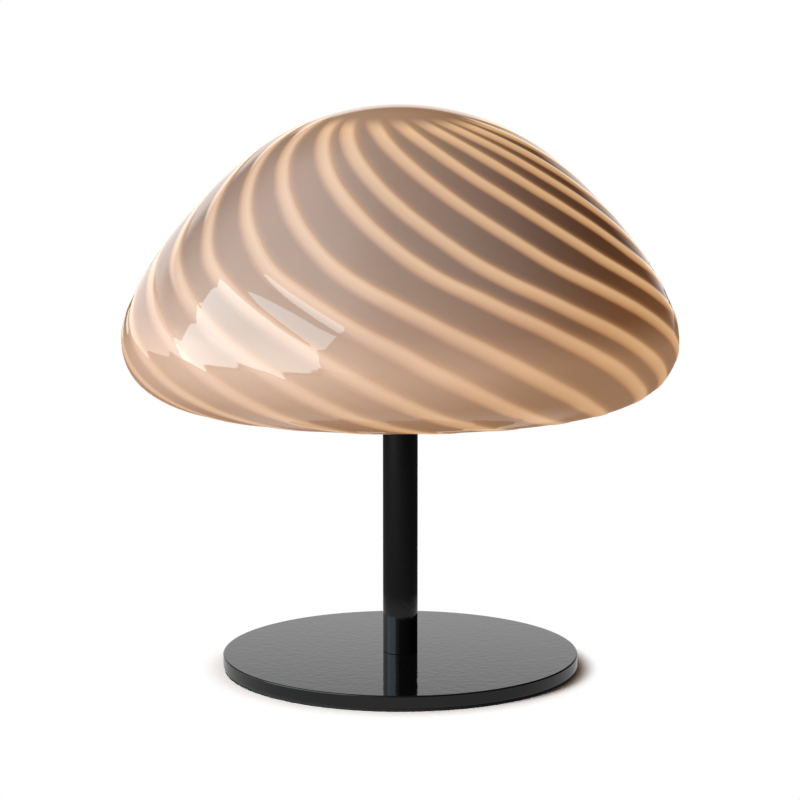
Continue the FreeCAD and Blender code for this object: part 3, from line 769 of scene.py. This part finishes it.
def blown_glass(graph, place):
    uv = graph.node("ShaderNodeUVMap", {"uv_map": "cane_map"})
    cane_count = graph.node("ShaderNodeSeparateXYZ", {}, {0: uv})
    length = cane_count.output("Y")
    pitch = graph.node("ShaderNodeAttribute", {"attribute_name": "pitch"}).output("Fac")
    cane = cane_count - cane_count.math("ROUND")
    waver = graph.spread(graph.noise(place, 28, 2), -CANE_WAVER, CANE_WAVER)
    across = (cane * pitch + waver) / CANE_SPACING + 0.5
    begin = graph.ease(length, CANES_BEGIN, CANES_FULL)
    inlay = graph.curve(across, [(0, 0), (0.17, 0), (0.28, 1), (0.54, 1), (0.64, 0), (1, 0)])
    cloud = graph.noise(place, 22, 4)
    taupe = graph.mix(cloud, (0.285, 0.225, 0.188, 1), (0.345, 0.278, 0.236, 1))
    # Painted light: emission in place of the bulb's light through the glass, on the canes dimmed
    # lower down, and on the glass changing with the distance down the outside.
    dimmed = graph.between(length, DIMMING_BEGINS, DIMMING_ENDS, 1.0, DIMMED)
    painted_cane_glow = graph.mix(begin * dimmed, (0, 0, 0, 1), graph.ramp(across, PAINTED_GLOW_ACROSS_A_CANE))
    painted_glass_glow = graph.ramp(length / outer_length, PAINTED_GLOW_DOWN_THE_GLASS)
    return {
        "Base Color": graph.mix(inlay * begin, taupe, (0.15, 0.17, 0.20, 1)),
        "Roughness": 0.03,
        "IOR": 1.6,
        "Emission Color": graph.add(painted_cane_glow, painted_glass_glow),
        "Emission Strength": 1.0,
    }


def swirl_shade():
    section = outline_object()
    finish = finish_of("blown_glass", blown_glass)
    tree = glass_tree()
    modifier = section.modifiers.new("swirl", "NODES")
    modifier.node_group = tree
    given = {
        "Canes": CANES,
        "Columns to a cane": COLUMNS_TO_A_CANE,
        "Proud": CANE_PROUD,
        "Outer length": outer_length,
        "Finish": finish,
    }
    for socket in tree.interface.items_tree:
        if socket.name in given:
            modifier[socket.identifier] = given[socket.name]
    depsgraph = bpy.context.evaluated_depsgraph_get()
    mesh = bpy.data.meshes.new_from_object(section.evaluated_get(depsgraph))
    mesh.name = "glass_shade"
    bpy.data.objects.remove(section)
    return mesh, finish


glass_mesh, glass_finish = swirl_shade()
fit("glass_shade", glass_mesh, glass_finish, "shade", "blown_glass", "shade_glass", "swirl_canes")


# ---- Studio ----
# A pale floor that fades into white just past the plate. A small soft key lights the lamp from
# the front left, and a wide panel beside it shows only where the glass mirrors it, as does the
# white behind the lamp. The camera stands in front, a little above the shade.
FLOOR_SIZE = 8.0
SHADOW_BEGINS = 0.1125
SHADOW_ENDS = 0.127
FLOOR_AS_LIT = 0.25
FLOOR_AS_SEEN = 1.35
MIRRORED_FLOOR_BEGINS = 0.15
MIRRORED_FLOOR_ENDS = 0.22
MIRRORED_FLOOR_NEAR = 0.55
MIRRORED_FLOOR_FAR = 0.03


def floor_finish():
    material = bpy.data.materials.new("pale_floor")
    material.use_nodes = True
    graph = Graph(material.node_tree)
    path = graph.node("ShaderNodeLightPath")
    place = graph.node("ShaderNodeTexCoord").output("Object")
    far = graph.node("ShaderNodeVectorMath", {"operation": "LENGTH"}, {0: place}).output("Value")
    fade = graph.ease(far, SHADOW_BEGINS, SHADOW_ENDS)
    lift = graph.spread(path, FLOOR_AS_LIT, FLOOR_AS_SEEN)
    grey = graph.node("ShaderNodeCombineXYZ", {}, {0: lift, 1: lift, 2: lift})
    matt = graph.node("ShaderNodeBsdfDiffuse", {}, {"Color": grey})
    white = graph.node("ShaderNodeEmission", {}, {"Color": (1, 1, 1, 1), "Strength": 1.0})
    # In reflections the floor glows brighter near the lamp and fades to dark farther off: a
    # painted pool of light, seen only by glossy rays.
    mirrored = graph.between(
        far, MIRRORED_FLOOR_BEGINS, MIRRORED_FLOOR_ENDS, MIRRORED_FLOOR_NEAR, MIRRORED_FLOOR_FAR
    )
    mirrored_floor_pool_of_light = path.output("Is Glossy Ray") * mirrored
    shown = graph.node("ShaderNodeMixShader", {}, {0: fade * path + mirrored_floor_pool_of_light, 1: matt, 2: white})
    graph.node("ShaderNodeOutputMaterial", {}, {"Surface": shown})
    return material


floor_mesh = bpy.data.meshes.new("floor")
half = FLOOR_SIZE / 2
floor_mesh.from_pydata(
    [(-half, -half, 0), (half, -half, 0), (half, half, 0), (-half, half, 0)], [], [(0, 1, 2, 3)]
)
floor_mesh.materials.append(floor_finish())
floor = bpy.data.objects.new("floor", floor_mesh)
bpy.context.scene.collection.objects.link(floor)

AMBIENT = 0.02
MIRRORED_DARK = 0.02
MIRRORED_LEFT = 0.85
BEHIND_LEAN = 0.8
BEHIND_BEGINS, BEHIND_FULL = 0.45, 0.9
LOW_BEGINS, LOW_FULL = 0.33, 0.215
LEFT_BEGINS, LEFT_FULL = 0.0, -0.45
FRONT_BEGINS, FRONT_FULL = 0.8, 0.25
world = bpy.data.worlds.new("studio")
bpy.context.scene.world = world
world.use_nodes = True
sky = Graph(world.node_tree)
path = sky.node("ShaderNodeLightPath")
heading = sky.node("ShaderNodeSeparateXYZ", {}, {0: sky.node("ShaderNodeTexCoord")})
behind = sky.ease(heading.output("Y") - heading * BEHIND_LEAN, BEHIND_BEGINS, BEHIND_FULL)
low = sky.ease(heading.output("Z"), LOW_BEGINS, LOW_FULL)
left = sky.ease(heading, LEFT_BEGINS, LEFT_FULL)
front = sky.ease(heading.output("Y"), FRONT_BEGINS, FRONT_FULL)
mirrored = sky.spread(behind * low, MIRRORED_DARK, 1.0) + left * front * MIRRORED_LEFT
glossy = path.output("Is Glossy Ray").math("MAXIMUM", path.output("Is Transmission Ray"))
seen = path.math("MAXIMUM", glossy * mirrored)
strength = seen + (1 - path) * (1 - glossy) * AMBIENT
background = sky.node("ShaderNodeBackground", {}, {"Color": (1, 1, 1, 1), "Strength": strength})
sky.node("ShaderNodeOutputWorld", {}, {"Surface": background})

AIM = Vector((0, 0, 0.25))


def soft_light(name, azimuth, height, distance, width, tall, power, colour):
    """A rectangular light aimed at the shade; angles in degrees, from the front and the floor."""
    azimuth, height = math.radians(azimuth), math.radians(height)
    away = Vector(
        (
            math.sin(azimuth) * math.cos(height),
            -math.cos(azimuth) * math.cos(height),
            math.sin(height),
        )
    )
    lamp = bpy.data.lights.new(name, "AREA")
    lamp.shape = "RECTANGLE"
    lamp.size = width
    lamp.size_y = tall
    lamp.energy = power
    lamp.color = colour
    made = bpy.data.objects.new(name, lamp)
    made.location = AIM + away * distance
    made.rotation_euler = away.to_track_quat("Z", "Y").to_euler()
    made.visible_camera = False
    bpy.context.scene.collection.objects.link(made)
    return made


softbox = soft_light(
    "softbox",
    azimuth=-63,
    height=16.5,
    distance=1.0,
    width=1.22,
    tall=0.82,
    power=11.0,
    colour=(0.70, 0.93, 1.0),
)
softbox.visible_diffuse = False
key = soft_light(
    "key",
    azimuth=-48,
    height=17,
    distance=1.6,
    width=0.7,
    tall=0.7,
    power=31.0,
    colour=(1.0, 1.0, 1.0),
)
key.visible_glossy = False

CAMERA_PLACE = (-0.0002, -1.7470, 0.4436)
CAMERA_PITCH = 8.855
CAMERA_LENS = 126.76
lens = bpy.data.cameras.new("camera")
lens.lens = CAMERA_LENS
lens.sensor_width = 36
camera = bpy.data.objects.new("camera", lens)
camera.location = CAMERA_PLACE
camera.rotation_euler = (math.radians(90 - CAMERA_PITCH), 0, 0)
bpy.context.scene.collection.objects.link(camera)
bpy.context.scene.camera = camera
bpy.context.scene.view_settings.view_transform = "Standard"
